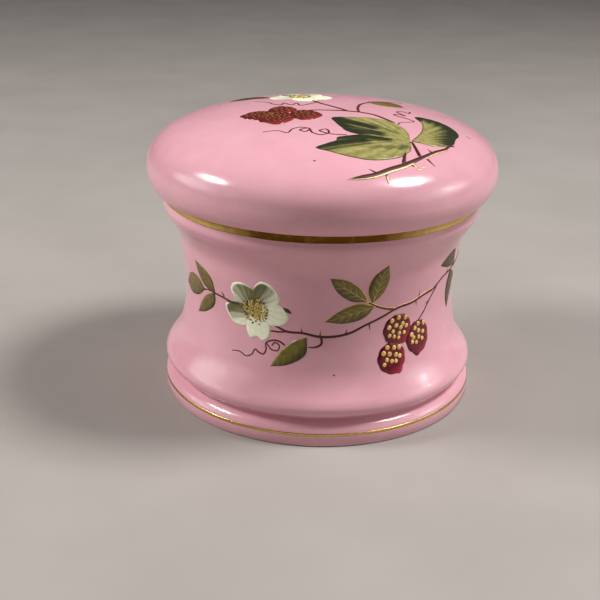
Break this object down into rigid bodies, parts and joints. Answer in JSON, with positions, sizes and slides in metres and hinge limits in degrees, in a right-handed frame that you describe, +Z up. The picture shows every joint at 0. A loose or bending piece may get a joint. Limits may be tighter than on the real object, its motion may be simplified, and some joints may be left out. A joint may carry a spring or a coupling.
{
  "type": "powder jar",
  "caption": "Round waisted porcelain powder jar with a loose domed lid, gilt bands and a painted bramble spray.",
  "frame": {"origin": "centre of the foot's resting ring, on the surface the jar stands on", "axes": "+Z up along the axis of revolution; -Y is the front, where the painted blossom spray is; +X is to the right seen from the front"},
  "size_m": [0.1156, 0.1156, 0.095],
  "materials": {
    "rose_glaze": "rose pink glaze over white porcelain, glossy, faintly mottled",
    "gilding": "burnished fired gold, brushed on by hand, a little worn",
    "leaf_enamel": "olive green overglaze enamel",
    "stem_enamel": "dark brown overglaze enamel",
    "berry_enamel": "crimson overglaze enamel",
    "blossom_enamel": "white overglaze enamel shaded grey-green",
    "raised_gold": "raised matt gold dots and lines"
  },
  "bodies": {
    "jar": {"jar_body": "rose_glaze", "rim_gilt_band": "gilding", "foot_gilt_line": "gilding"},
    "lid": {"lid": "rose_glaze"}
  },
  "joints": [
    {"name": "lid_lift", "type": "slide", "parent": "jar", "child": "lid", "axis": [0, 0, 1], "range_m": [0, 0.06]}
  ]
}
